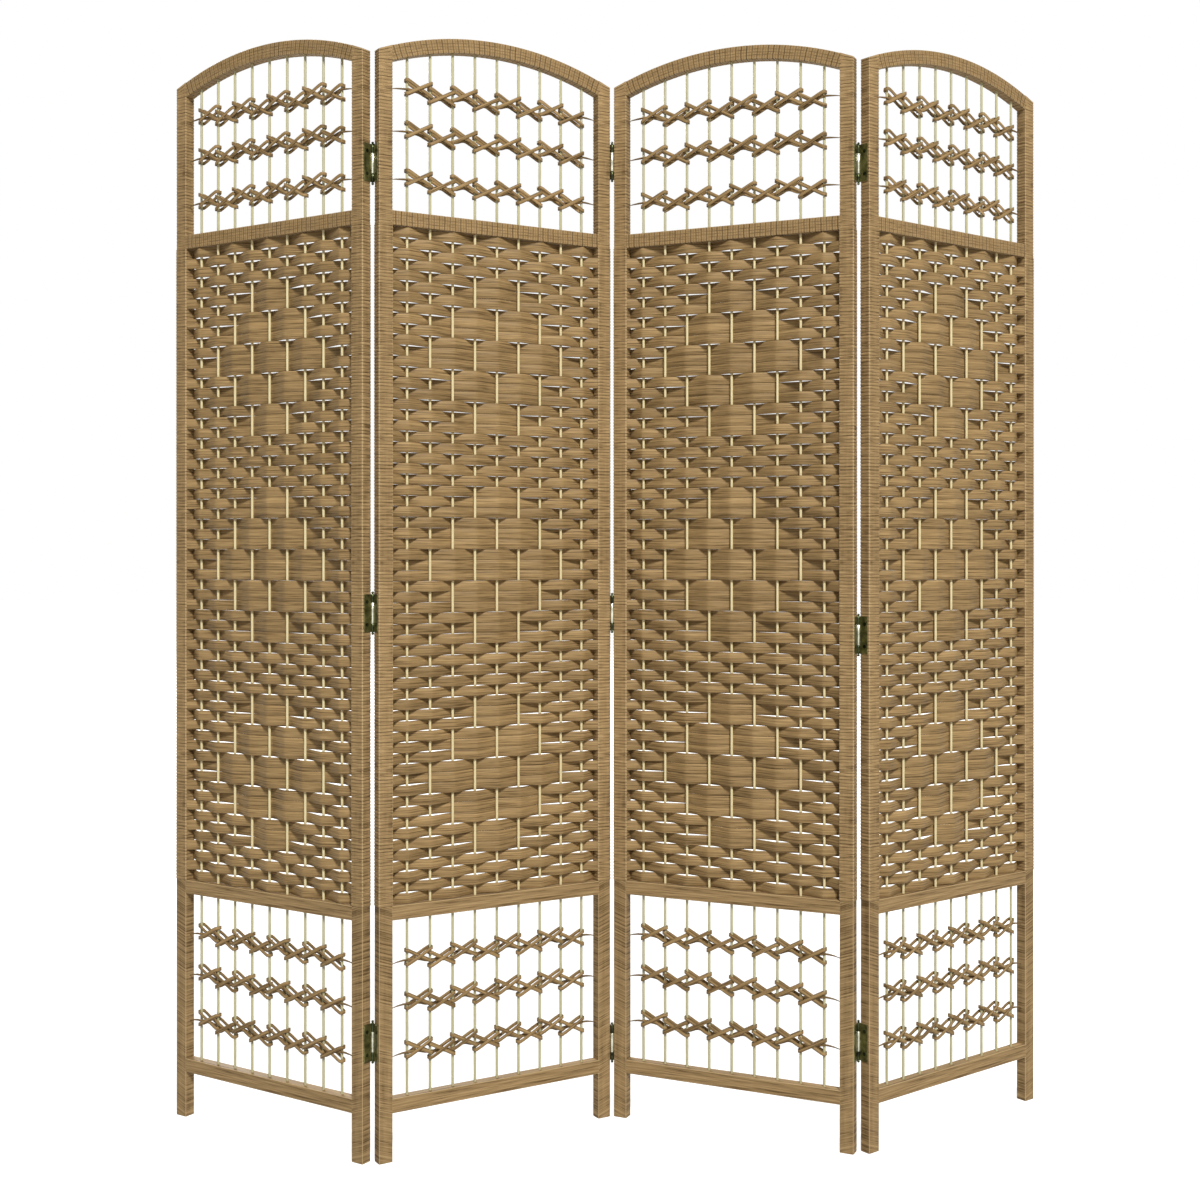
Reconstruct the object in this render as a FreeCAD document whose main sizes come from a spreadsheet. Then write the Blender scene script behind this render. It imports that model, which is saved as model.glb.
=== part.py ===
"""Folding room divider: four equal arched panels with woven fields, hinged in a zigzag.

Every panel is drawn in a frame of its own: X along its width from the left edge, Y from its front face to
its back, Z up from the floor. Its pieces are then set out on the floor together, fold by fold.
"""
import FreeCAD, Part
import math
import os
import re

doc = FreeCAD.newDocument("room_divider")

# Driving dimensions in millimetres, angles in degrees from flat, and counts
DIMENSIONS = (
    ("panel_width", 400, "panel, outside to outside of its stiles"),
    ("panel_height", 1700, "floor to the top of the arch"),
    ("arch_rise", 40, "top of the arch above its ends"),
    ("stile_width", 22, "stile, seen from the front"),
    ("frame_depth", 18, "stiles and rails, front to back"),
    ("rail_height", 22, "all rails, the arch measured along its radius"),
    ("leg_length", 72, "floor to the bottom rail"),
    ("bottom_opening", 266, "bottom rail to the lower rail"),
    ("upper_rail_drop", 278, "top of the arch to the top of the upper rail"),
    ("rod_count", 9, "rods in a panel"),
    ("rod_margin", 26.8, "stile to the middle of the first rod"),
    ("rod_diameter", 4.2, "rod across its corners"),
    ("rod_sides", 6, "sides of a rod"),
    ("rod_end_gap", 0.05, "rod's highest corner to the arch"),
    ("strip_thickness", 1.2, "woven strip"),
    ("strip_clear", 3.3, "between a rod and the strip that passes it"),
    ("strip_inset", 0.9, "strip's end behind the stile's face"),
    ("weave_bands", 14, "bands of strip in a woven field, each as high as four or five rows"),
    ("band_gap", 4, "open slot between one band of strip and the next"),
    ("lashing_width", 6, "lashing, measured upright"),
    ("lashing_thickness", 1.2, "lashing"),
    ("lashing_rise", 20, "lashing's climb from rod to rod"),
    ("lashing_hook", 3, "lashing past the last rod"),
    ("first_yaw", -32.8, "panel 1 from the line that the screen stands along"),
    ("first_fold", 64, "panels 1 and 2"),
    ("second_fold", 56, "panels 2 and 3"),
    ("third_fold", 63.5, "panels 3 and 4"),
    ("leaf_height", 57, "hinge leaf"),
    ("leaf_inset", 3, "hinge leaf's long edge from the face it doesn't fold on"),
    ("leaf_thickness", 1.2, "hinge leaf"),
    ("leaf_gap", 0.6, "between two leaves when their panels lie flat"),
    ("pin_radius", 1.4, "hinge pin"),
    ("pin_end", 3, "pin past its knuckles, above and below"),
    ("pin_play", 0.05, "pin in its knuckles, all round"),
    ("knuckle_radius", 2.7, "hinge knuckle"),
    ("knuckle_clear", 0.3, "hinge knuckle to the panel's face"),
    ("knuckle_sides", 6, "sides of a rolled knuckle and its bore"),
    ("end_knuckle", 13, "height of each of the two outer knuckles"),
    ("knuckle_gap", 0.3, "between one knuckle and the next"),
)

# Rows of lashings up each opening, the arched one measured to the ends of its arch
LASHING_SHARES = {"upper": (0.86, 0.56, 0.23), "lower": (0.765, 0.515, 0.24)}

# Middles of each joint's hinges up the panel, fitted by hand and so not in line
HINGE_SHARES = {
    "first": (0.878, 0.482, 0.1045),
    "second": (0.906, 0.478, 0.0705),
    "third": (0.8835, 0.4615, 0.0978),
}

sheet = doc.addObject("Spreadsheet::Sheet", "Sizes")
for row, (alias, value, meaning) in enumerate(DIMENSIONS, start=1):
    sheet.set(f"A{row}", alias)
    sheet.set(f"B{row}", str(value))
    sheet.set(f"C{row}", meaning)
    sheet.setAlias(f"B{row}", alias)
doc.recompute()

ALIASES = {alias for alias, value, meaning in DIMENSIONS}

# Lengths that several pieces share, in the sheet's own names
ARCH_RADIUS = "((panel_width ^ 2 / 4 + arch_rise ^ 2) / (2 * arch_rise))"
INNER_RADIUS = f"({ARCH_RADIUS} - rail_height)"
ARCH_MIDDLE = f"(panel_height - {ARCH_RADIUS})"
RAIL_LENGTH = "(panel_width - 2 * stile_width)"
ROD_PITCH = f"(({RAIL_LENGTH} - 2 * rod_margin) / (rod_count - 1))"
LOWER_RAIL_AT = "(leg_length + rail_height + bottom_opening)"
UPPER_RAIL_AT = "(panel_height - upper_rail_drop - rail_height)"
STILE_GAP = "(2 * leaf_thickness + leaf_gap)"
PIN_OFFSET = "(knuckle_radius + knuckle_clear)"

# Each joint from left to right: its name, the face that its pins stand outside, and which of its two
# panels has the leaf with two knuckles
JOINTS = (
    ("first", "back", "left"),
    ("second", "front", "right"),
    ("third", "back", "right"),
)
PANELS = [f"panel_{number}" for number in range(1, len(JOINTS) + 2)]

# Where a hinge sits on a panel: the panel's right edge serves the joint to its right, and so on
EDGES = {
    "right": {"plate": "panel_width", "pin": f"panel_width + {STILE_GAP} / 2"},
    "left": {"plate": "-leaf_thickness", "pin": f"-{STILE_GAP} / 2"},
}
FACES = {
    "back": {"plate": "leaf_inset", "arm": "frame_depth", "pin": f"frame_depth + {PIN_OFFSET}"},
    "front": {"plate": "0", "arm": f"-{PIN_OFFSET}", "pin": f"-{PIN_OFFSET}"},
}


def size(alias):
    """A driving dimension, read from the sheet."""
    return float(sheet.get(alias))


def count(alias):
    """A driving count, read from the sheet."""
    return int(sheet.get(alias))


def bind(item, **expressions):
    """Tie an object's properties to the sheet, x, y and z standing for its place."""
    for name, expression in expressions.items():
        prop = f"Placement.Base.{name}" if name in ("x", "y", "z") else name
        linked = re.sub(r"[a-z_]+", lambda m: f"Sizes.{m[0]}" if m[0] in ALIASES else m[0], expression)
        item.setExpression(prop, linked)
    return item


def box(name, at, spans):
    """A block with its lowest corner and its edges given as expressions."""
    x, y, z = at
    length, width, height = spans
    block = doc.addObject("Part::Box", name)
    return bind(block, x=x, y=y, z=z, Length=length, Width=width, Height=height)


def prism(name, sides, radius, at, height):
    """An upright bar with flat sides, radius measured to its corners."""
    x, y, z = at
    bar = doc.addObject("Part::Prism", name)
    return bind(bar, x=x, y=y, z=z, Polygon=sides, Circumradius=radius, Height=height)


def arch_disc(name, radius):
    """A disc as thick as the frame, round the middle of the arch."""
    disc = doc.addObject("Part::Cylinder", name)
    disc.Placement.Rotation = FreeCAD.Rotation(FreeCAD.Vector(1, 0, 0), -90)
    return bind(disc, x="panel_width / 2", y="0", z=ARCH_MIDDLE, Radius=radius, Height="frame_depth")


def boolean(kind, name, base, tool):
    """One of the two-piece operations Cut and Common."""
    result = doc.addObject(f"Part::{kind}", name)
    result.Base = base
    result.Tool = tool
    result.Refine = True
    return result


def group(name, pieces):
    """Solids kept together as one object, to be set out together."""
    together = doc.addObject("Part::Compound", name)
    together.Links = pieces
    return together


def stile(name, left):
    """A stile from the floor up, its top cut along the arch."""
    bar = box(f"{name}_bar", (left, "0", "0"), ("stile_width", "frame_depth", "panel_height"))
    corner = box(f"{name}_corner", (left, "0", ARCH_MIDDLE), ("stile_width", "frame_depth", ARCH_RADIUS))
    waste = boolean("Cut", f"{name}_waste", corner, arch_disc(f"{name}_top", ARCH_RADIUS))
    return boolean("Cut", name, bar, waste)


def rail(name, bottom):
    """A straight rail between the stiles."""
    spans = (RAIL_LENGTH, "frame_depth", "rail_height")
    return group(name, [box(f"{name}_bar", ("stile_width", "0", bottom), spans)])


def arch_rail(name):
    """The arched top rail between the stiles."""
    ring = boolean(
        "Cut",
        f"{name}_ring",
        arch_disc(f"{name}_outside", ARCH_RADIUS),
        arch_disc(f"{name}_inside", INNER_RADIUS),
    )
    span = box(
        f"{name}_span",
        ("stile_width", "0", ARCH_MIDDLE),
        (RAIL_LENGTH, "frame_depth", ARCH_RADIUS),
    )
    return boolean("Common", name, ring, span)


def rod_row(name, bottom, heights):
    """A rod at each rod's place, each with its own height."""
    bars = []
    for index, height in enumerate(heights):
        place = (f"stile_width + rod_margin + {index} * {ROD_PITCH}", "frame_depth / 2", bottom)
        bars.append(prism(f"{name}_{index + 1}", "rod_sides", "rod_diameter / 2", place, height))
    return bars


def rods(name):
    """The rods in each of the three openings, the highest ones up to the underside of the arch."""
    total = count("rod_count")
    field_bottom = f"{LOWER_RAIL_AT} + rail_height"
    arch_bottom = f"({UPPER_RAIL_AT} + rail_height)"
    under_arch = []
    for index in range(total):
        reach = f"(abs({index} - (rod_count - 1) / 2) * {ROD_PITCH} + rod_diameter / 2)"
        top = f"{ARCH_MIDDLE} + sqrt({INNER_RADIUS} ^ 2 - {reach} ^ 2)"
        under_arch.append(f"{top} - rod_end_gap - {arch_bottom}")
    bars = rod_row(f"{name}_low", "leg_length + rail_height", ["bottom_opening"] * total)
    bars += rod_row(f"{name}_field", field_bottom, [f"{UPPER_RAIL_AT} - ({field_bottom})"] * total)
    bars += rod_row(f"{name}_high", arch_bottom, under_arch)
    return group(name, bars)


def rod_places():
    """The rods' places along the panel."""
    first = size("stile_width") + size("rod_margin")
    pitch = (size("panel_width") - 2 * first) / (count("rod_count") - 1)
    return [first + index * pitch for index in range(count("rod_count"))]


def band(points, offset):
    """A closed face between a line of points and the same line moved by an offset."""
    far_side = [point + offset for point in reversed(points)]
    return Part.Face(Part.makePolygon(points + far_side + points[:1]))


def woven_band(bottom, height, sense):
    """A strip that swings from one side of the rods to the other, its ends against the stiles."""
    half = FreeCAD.Vector(0, size("strip_thickness") / 2, 0)
    rod_swing = size("rod_diameter") / 2 + size("strip_clear") + half.y
    end_swing = size("frame_depth") / 2 - size("strip_inset") - half.y
    ends = [size("stile_width"), size("panel_width") - size("stile_width")]
    places = ends[:1] + rod_places() + ends[1:]
    points = []
    for index, x in enumerate(places):
        swing = end_swing if x in ends else rod_swing
        side = sense if index % 2 == 0 else -sense
        points.append(FreeCAD.Vector(x, size("frame_depth") / 2 + side * swing, bottom) - half)
    return band(points, half * 2).extrude(FreeCAD.Vector(0, 0, height))


def weave(name):
    """The woven field, between the lower and the upper rail."""
    bottom = size("leg_length") + size("bottom_opening") + 2 * size("rail_height")
    top = size("panel_height") - size("upper_rail_drop") - size("rail_height")
    pitch = (top - bottom) / count("weave_bands")
    bands = []
    for index in range(count("weave_bands")):
        sense = -1 if index % 2 == 0 else 1
        band_bottom = bottom + index * pitch + size("band_gap") / 2
        bands.append(woven_band(band_bottom, pitch - size("band_gap"), sense))
    field = doc.addObject("Part::Feature", name)
    field.Shape = Part.makeCompound(bands)
    return field


def lashing(row_at, face, sense):
    """One lashing run, up and down across the rods, lying against their front or back."""
    flat = size("rod_diameter") / 2 * math.cos(math.pi / count("rod_sides"))
    depth = size("frame_depth") / 2 + face * flat
    places = rod_places()
    places[0] -= size("lashing_hook")
    places[-1] += size("lashing_hook")
    points = []
    for index, x in enumerate(places):
        climb = (sense if index % 2 == 0 else -sense) * size("lashing_rise") / 2
        points.append(FreeCAD.Vector(x, depth, row_at + climb - size("lashing_width") / 2))
    run = band(points, FreeCAD.Vector(0, 0, size("lashing_width")))
    return run.extrude(FreeCAD.Vector(0, face * size("lashing_thickness"), 0))


def lashings(name, opening):
    """The crossed lashings of one opening: in each row one run in front of the rods, one behind."""
    if opening == "upper":
        bottom = size("panel_height") - size("upper_rail_drop")
        clear = size("upper_rail_drop") - size("arch_rise") - size("rail_height")
    else:
        bottom = size("leg_length") + size("rail_height")
        clear = size("bottom_opening")
    runs = []
    for share in LASHING_SHARES[opening]:
        row_at = bottom + share * clear
        runs.append(lashing(row_at, -1, -1))
        runs.append(lashing(row_at, 1, 1))
    ties = doc.addObject("Part::Feature", name)
    ties.Shape = Part.makeCompound(runs)
    return ties


def knuckle_spans(hinge_at, knuckles):
    """Bottom and height of each knuckle on a leaf with one or with two of them."""
    bottom = f"{hinge_at} - leaf_height / 2"
    if knuckles == 2:
        return [(bottom, "end_knuckle"), (f"{hinge_at} + leaf_height / 2 - end_knuckle", "end_knuckle")]
    inset = "(end_knuckle + knuckle_gap)"
    return [(f"{bottom} + {inset}", f"leaf_height - 2 * {inset}")]


def pin_place(edge, face, bottom):
    """The pin's middle line, as seen from the panel that has the leaf."""
    return (EDGES[edge]["pin"], FACES[face]["pin"], bottom)


def leaf(name, edge, face, hinge_at, knuckles):
    """A hinge leaf: a plate on the stile's edge, with arms to its knuckles, bored for the pin."""
    plate_x = EDGES[edge]["plate"]
    bottom = f"{hinge_at} - leaf_height / 2"
    plate_spans = ("leaf_thickness", "frame_depth - leaf_inset", "leaf_height")
    pieces = [box(f"{name}_plate", (plate_x, FACES[face]["plate"], bottom), plate_spans)]
    for index, (low, height) in enumerate(knuckle_spans(hinge_at, knuckles)):
        arm_spans = ("leaf_thickness", PIN_OFFSET, height)
        pieces.append(box(f"{name}_arm_{index}", (plate_x, FACES[face]["arm"], low), arm_spans))
        roll_at = pin_place(edge, face, low)
        pieces.append(prism(f"{name}_roll_{index}", "knuckle_sides", "knuckle_radius", roll_at, height))
    body = doc.addObject("Part::MultiFuse", f"{name}_solid")
    body.Shapes = pieces
    body.Refine = True
    bore_radius = "(pin_radius + pin_play) / cos(180 deg / knuckle_sides)"
    bore = prism(
        f"{name}_bore", "knuckle_sides", bore_radius, pin_place(edge, face, bottom), "leaf_height"
    )
    return boolean("Cut", name, body, bore)


def leaves(name, edge, face, joint, knuckles):
    """The leaves on one side of a joint."""
    plates = []
    for index, share in enumerate(HINGE_SHARES[joint]):
        plates.append(leaf(f"{name}_{index + 1}", edge, face, f"{share} * panel_height", knuckles))
    return group(name, plates)


def pins(name, edge, face, joint):
    """The pins of a joint."""
    bars = []
    for index, share in enumerate(HINGE_SHARES[joint]):
        x, y, z = pin_place(edge, face, f"{share} * panel_height - leaf_height / 2 - pin_end")
        bar = doc.addObject("Part::Cylinder", f"{name}_{index + 1}")
        bars.append(bind(bar, x=x, y=y, z=z, Radius="pin_radius", Height="leaf_height + 2 * pin_end"))
    return group(name, bars)


def turned(yaw, x, y):
    """A point of a panel's plan, turned by the panel's yaw."""
    return FreeCAD.Rotation(FreeCAD.Vector(0, 0, 1), yaw).multVec(FreeCAD.Vector(x, y, 0))


def panel_placements():
    """Where each panel stands, by name, with the middle of the whole screen's plan at the origin."""
    half_gap = size("leaf_thickness") + size("leaf_gap") / 2
    outside = size("knuckle_radius") + size("knuckle_clear")
    yaw = size("first_yaw")
    corner = FreeCAD.Vector()
    stands = [(corner, yaw)]
    for joint, face, two_knuckle_side in JOINTS:
        behind = face == "back"
        pin_y = size("frame_depth") + outside if behind else -outside
        pin = corner + turned(yaw, size("panel_width") + half_gap, pin_y)
        yaw += size(f"{joint}_fold") if behind else -size(f"{joint}_fold")
        corner = pin - turned(yaw, -half_gap, pin_y)
        stands.append((corner, yaw))
    ends = [
        corner + turned(yaw, x, y)
        for corner, yaw in stands
        for x in (0, size("panel_width"))
        for y in (0, size("frame_depth"))
    ]
    plan = FreeCAD.BoundBox()
    for point in ends:
        plan.add(point)
    upright = FreeCAD.Vector(0, 0, 1)
    placements = {}
    for panel, (corner, yaw) in zip(PANELS, stands):
        placements[panel] = FreeCAD.Placement(corner - plan.Center, FreeCAD.Rotation(upright, yaw))
    return placements


def panel_pieces(panel):
    """All fixed pieces of one panel."""
    return [
        stile(f"{panel}_left_stile", "0"),
        stile(f"{panel}_right_stile", "panel_width - stile_width"),
        arch_rail(f"{panel}_arch_rail"),
        rail(f"{panel}_upper_rail", UPPER_RAIL_AT),
        rail(f"{panel}_lower_rail", LOWER_RAIL_AT),
        rail(f"{panel}_bottom_rail", "leg_length"),
        rods(f"{panel}_rods"),
        weave(f"{panel}_weave"),
        lashings(f"{panel}_upper_lashings", "upper"),
        lashings(f"{panel}_lower_lashings", "lower"),
    ]


def joint_pieces(joint, left_panel, right_panel, face, two_knuckle_side):
    """A joint's hinge pieces, listed by the panel that carries them."""
    sides = {"left": (left_panel, "right"), "right": (right_panel, "left")}
    carried = []
    for side, (panel, edge) in sides.items():
        if side == two_knuckle_side:
            carried.append((panel, leaves(f"{joint}_joint_two_knuckle_leaves", edge, face, joint, 2)))
            carried.append((panel, pins(f"{joint}_joint_pins", edge, face, joint)))
        else:
            carried.append((panel, leaves(f"{joint}_joint_one_knuckle_leaves", edge, face, joint, 1)))
    return carried


def build():
    """Every piece of the screen, set out at its place."""
    carried = [(panel, piece) for panel in PANELS for piece in panel_pieces(panel)]
    for left_panel, right_panel, (joint, face, side) in zip(PANELS, PANELS[1:], JOINTS):
        carried += joint_pieces(joint, left_panel, right_panel, face, side)
    doc.recompute()
    placements = panel_placements()
    for panel, piece in carried:
        piece.Label = piece.Name
        piece.Placement = placements[panel]
    doc.recompute()
    return [piece for panel, piece in carried]


def check(pieces):
    """Stop if any object failed or any piece isn't a sound solid."""
    for item in doc.Objects:
        if {"Invalid", "Error"} & set(item.State):
            raise RuntimeError(f"{item.Name} failed: {item.State}")
    for piece in pieces:
        if piece.Shape.isNull() or not piece.Shape.isValid() or not piece.Shape.Solids:
            raise RuntimeError(f"{piece.Label} isn't a sound solid")


pieces = build()
check(pieces)
os.makedirs("parts", exist_ok=True)
for piece in pieces:
    piece.Shape.exportStep(f"parts/{piece.Label}.step")
print(len(pieces), "pieces,", sum(len(piece.Shape.Solids) for piece in pieces), "solids")
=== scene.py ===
"""Folding room divider: four arched cane panels in a zigzag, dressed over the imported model.

Every panel is drawn in its own frame, s along its width, d from its front to its back and z up, and is
then set where its two stiles stand.
"""
import math

import bmesh
import bpy
from mathutils import Matrix, Vector


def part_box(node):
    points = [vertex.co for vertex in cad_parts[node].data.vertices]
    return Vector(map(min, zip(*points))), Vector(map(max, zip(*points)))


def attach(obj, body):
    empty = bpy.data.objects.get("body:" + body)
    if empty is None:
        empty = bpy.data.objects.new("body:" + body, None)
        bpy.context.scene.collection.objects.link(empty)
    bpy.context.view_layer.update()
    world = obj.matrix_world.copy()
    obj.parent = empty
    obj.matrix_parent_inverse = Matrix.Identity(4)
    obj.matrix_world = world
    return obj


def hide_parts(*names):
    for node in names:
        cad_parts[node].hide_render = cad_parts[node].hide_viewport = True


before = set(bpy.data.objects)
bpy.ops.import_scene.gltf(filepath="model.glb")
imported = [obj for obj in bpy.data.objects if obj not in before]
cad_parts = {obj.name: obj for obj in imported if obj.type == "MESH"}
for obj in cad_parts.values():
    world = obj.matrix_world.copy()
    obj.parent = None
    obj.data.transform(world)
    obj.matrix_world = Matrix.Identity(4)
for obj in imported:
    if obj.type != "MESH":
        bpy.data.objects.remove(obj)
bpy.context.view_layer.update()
scene = bpy.context.scene

MM = 0.001
PANELS = ("panel_1", "panel_2", "panel_3", "panel_4")

# Rods
ROD_COUNT = 9
ROD_MARGIN = 26.8 * MM
ROD_RADIUS = 2.05 * MM
ROD_SIDES = 14
ROD_LET_IN = 1 * MM

# Woven strips
ROW_COUNT = 63
STRIP_THICKNESS = 1.2 * MM
STRIP_SWING = 6.5 * MM
STRIP_END_SWING = 7.4 * MM
STRIP_STEPS = 3
# How far the painted edge shade reaches in from a strip's edge; the lashings and runners have their own
# reaches below
STRIP_SHADE_RIM = 0.5 * MM
BEND_SHARE = 0.14
DIAMOND_FIRST_ROWS = (5, 25, 45)
# Rods that a diamond's rows pass behind, by row counted from the diamond's first
DIAMOND_ROWS = {
    1: (1, 3, 4, 6, 7, 9),
    4: (2, 3, 5, 7, 8),
    7: (1, 2, 4, 6, 8, 9),
    10: (2, 3, 5, 7, 8),
    13: (1, 3, 4, 6, 7, 9),
}

# Section of a flat strip: a ring of points, flattened and then spread towards its edges
SECTION_POINTS = 8
SECTION_FLATNESS = 1.6
SECTION_SPREAD = 0.3

# Lashings
UPPER_LASHING_ROWS = (1611 * MM, 1547 * MM, 1475 * MM)
LOWER_LASHING_ROWS = (301 * MM, 235 * MM, 162 * MM)
LASHING_WIDTH = 5.4 * MM
LASHING_THICKNESS = 0.9 * MM
LASHING_HALF_RISE = 10 * MM
LASHING_STAGGER = 7.5 * MM
LASHING_REACH = 3.6 * MM
LASHING_SWING = 5.4 * MM
LASHING_BOW = 1.2 * LASHING_THICKNESS
LASHING_STEPS = 2
LASHING_SHADE_RIM = 1.1 * MM
LOOP_SHARES = (0.0, 0.3, 0.7)
HOOK_ANGLES = (-90, -30, 30)
RUNNER_WIDTH = 5 * MM
RUNNER_DROP = 10 * MM
RUNNER_CREST_DROP = 5 * MM
RUNNER_SWING = ROD_RADIUS + 0.6 * LASHING_THICKNESS
RUNNER_STEPS = 4
RUNNER_SHADE_RIM = 1.0 * MM
TAIL_SHARES = (0, 0.3, 0.65, 1)
TAIL_RADII = (1.7 * MM, 1.5 * MM, 1.0 * MM, 0.4 * MM)
TAIL_SIDES = 8
UPPER_TAIL_DROP = 2 * MM
LOWER_TAIL_DROP = 5 * MM

# Frame; a groove is a share of the section, and a bare bar's turn is counted in rail heights
STILE_TURN = 5.1 * MM
STILE_WRAP = 0.8 * MM
STILE_GROOVE = 0.045
RAIL_TURN = 8.9 * MM
RAIL_GROOVE = 0.012
BARE_TURN = 3
RINGS_PER_TURN = 4
RAIL_CREASES = (5 * MM, 0.7 * MM, -4 * MM)
CREASE_REACH = 0.8 * MM
TENON = 4 * MM
RAIL_SETBACK = 0.15 * MM
CORNER_RADIUS = 1.2 * MM
CORNER_POINTS = 3
ARCH_STEPS = 40

# Hinges
LEAF_HEIGHT = 57 * MM
LEAF_INSET = 3 * MM
LEAF_THICKNESS = 1.2 * MM
LEAF_GAP = 0.6 * MM
LEAF_EASE = 0.25 * MM
PIN_OFFSET = 3 * MM
PIN_RADIUS = 1.4 * MM
KNUCKLE_RADIUS = 2.7 * MM
KNUCKLE_EASE = 0.3 * MM
END_KNUCKLE = 13 * MM
KNUCKLE_GAP = 0.3 * MM
TIP_RADIUS = 2.1 * MM
TIP_ANGLES = (-60, -30, 0, 30, 60, 80)
TURNED_SIDES = 20
SCREW_RADIUS = 2.9 * MM
SCREW_HEIGHT = 0.5 * MM
SCREW_SLOT = 0.35 * MM
SCREW_SHARES = (-0.3, 0.3)
SLOT_FLOOR = (0.96, 0.96, 0.3)
# Each joint: left panel, right panel, the side its pins stand on, and the panel with two knuckles
JOINTS = {
    "first": ("panel_1", "panel_2", "back", "panel_1"),
    "second": ("panel_2", "panel_3", "front", "panel_3"),
    "third": ("panel_3", "panel_4", "back", "panel_4"),
}

# Seeds
STILE_SEED = 3
ROD_SEED = 5
LEG_SEED = 7
RAIL_SEED = 11
STRIP_SEED = 17
LASHING_SEED = 23
RUNNER_SEED = 27
TAIL_SEED = 29
SCREW_SEED = 31

# Stains, and the colours of painted shade and painted highlight; the grain runs from the stain's dark lines
# to its pale ones, at these shares of it
GRAIN_STOPS = (
    (0.37, (0.4, 0.36, 0.31)),
    (0.46, (0.86, 0.86, 0.86)),
    (0.54, (1, 1, 1)),
    (0.64, (1.36, 1.4, 1.48)),
)
CANE_TINT = (0.29, 0.187, 0.079)
WOOD_TINT = (0.325, 0.213, 0.096)
# Painted shade along the edges of the strips and lashings
PAINTED_EDGE_SHADE = (0.09, 0.052, 0.02)
SEAM_BROWN = (0.055, 0.03, 0.011)
# Painted highlight along the corners of the frame's bars
PAINTED_CORNER_HIGHLIGHT = (0.5, 0.36, 0.19)
ROD_CREAM = ((0.3, (0.48, 0.38, 0.19)), (0.5, (0.68, 0.57, 0.31)), (0.7, (0.78, 0.7, 0.45)))
# Painted shade: the rods' colour in the openings, darker and greener than their cream within the weave
ROD_OPENING_SHADE = ((0.3, (0.34, 0.31, 0.15)), (0.5, (0.48, 0.445, 0.25)), (0.7, (0.6, 0.56, 0.36)))

# Grain: how fine it is along the stock and across it, and how high it stands
CANE_LINES = (15.0, 620.0)
CANE_FINE_LINES = (40.0, 1300.0)
BROAD_GRAIN = (6.0, 70.0)
ROD_LINES = (9.0, 500.0)
SEAM_GRAIN = (30.0, 90.0)
SWAY_GRAIN = (25.0, 0.0)
BREAK_GRAIN = (60.0, 200.0)
BRASS_PATCHES = 90.0
BRASS_PITS = 900.0
GRAIN_HEIGHT = 0.3 * MM
ROD_GRAIN_HEIGHT = 0.15 * MM
BRASS_PIT_DEPTH = 0.05 * MM
BRASS_PIT_STRENGTH = 0.3

# Shares of one look in another
CANE_LINE_SHARE = 0.8
WOOD_LINE_SHARE = 0.75
EDGE_SHADE_SHARE = 0.6
CORNER_HIGHLIGHT_SHARE = 0.6

# What a value is multiplied by, and what is then added to it
CANE_TONE = (0.16, 0.92)
CANE_ROUGHNESS = (0.3, 0.4)
WOOD_ROUGHNESS = (0.3, 0.45)
ROD_ROUGHNESS = (0.3, 0.35)
SEAM_WANDER = (0.3, -0.15)
CREASE_SWAY = (3 * MM, -1.5 * MM)
CREASE_BOLDNESS = (2.4, -0.6)

# Shine
CANE_SHINE = 0.15
WOOD_SHINE = 0.1
ROD_SHINE = 0.3
BRASS_METAL = 0.85

# How far apart in a noise two sticks of unlike tone are, along it and across it, and two wrappings
TONE_APART_ALONG = 91.0
TONE_APART_ACROSS = 37.0
WRAPPINGS_APART = 53.0

# Stage
CAMERA_PLACE = (0.0177, -2.5587, 0.9098)
CAMERA_SHIFT = (-0.01825, -0.0394)
SENSOR_WIDTH = 36
LENS = 48.55
LAMP_TARGET = (0, 0, 0.85)
# Each lamp: its place, its size and its power
LAMPS = {
    "key": ((2.6, -9.8, 9.3), 2.6, 1960),
    "back": ((-3.5, 9.5, 6.0), 4.0, 900),
}
SURROUND_LIGHT = 0.14
FLOOR_RADIUS = 30
FLOOR_GREY = (0.6, 0.6, 0.6, 1)
FLOOR_GLOW = {"From Min": 0.8, "From Max": 4.0, "To Min": 0.7, "To Max": 0.95}
WHITE = (1, 1, 1, 1)


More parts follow.
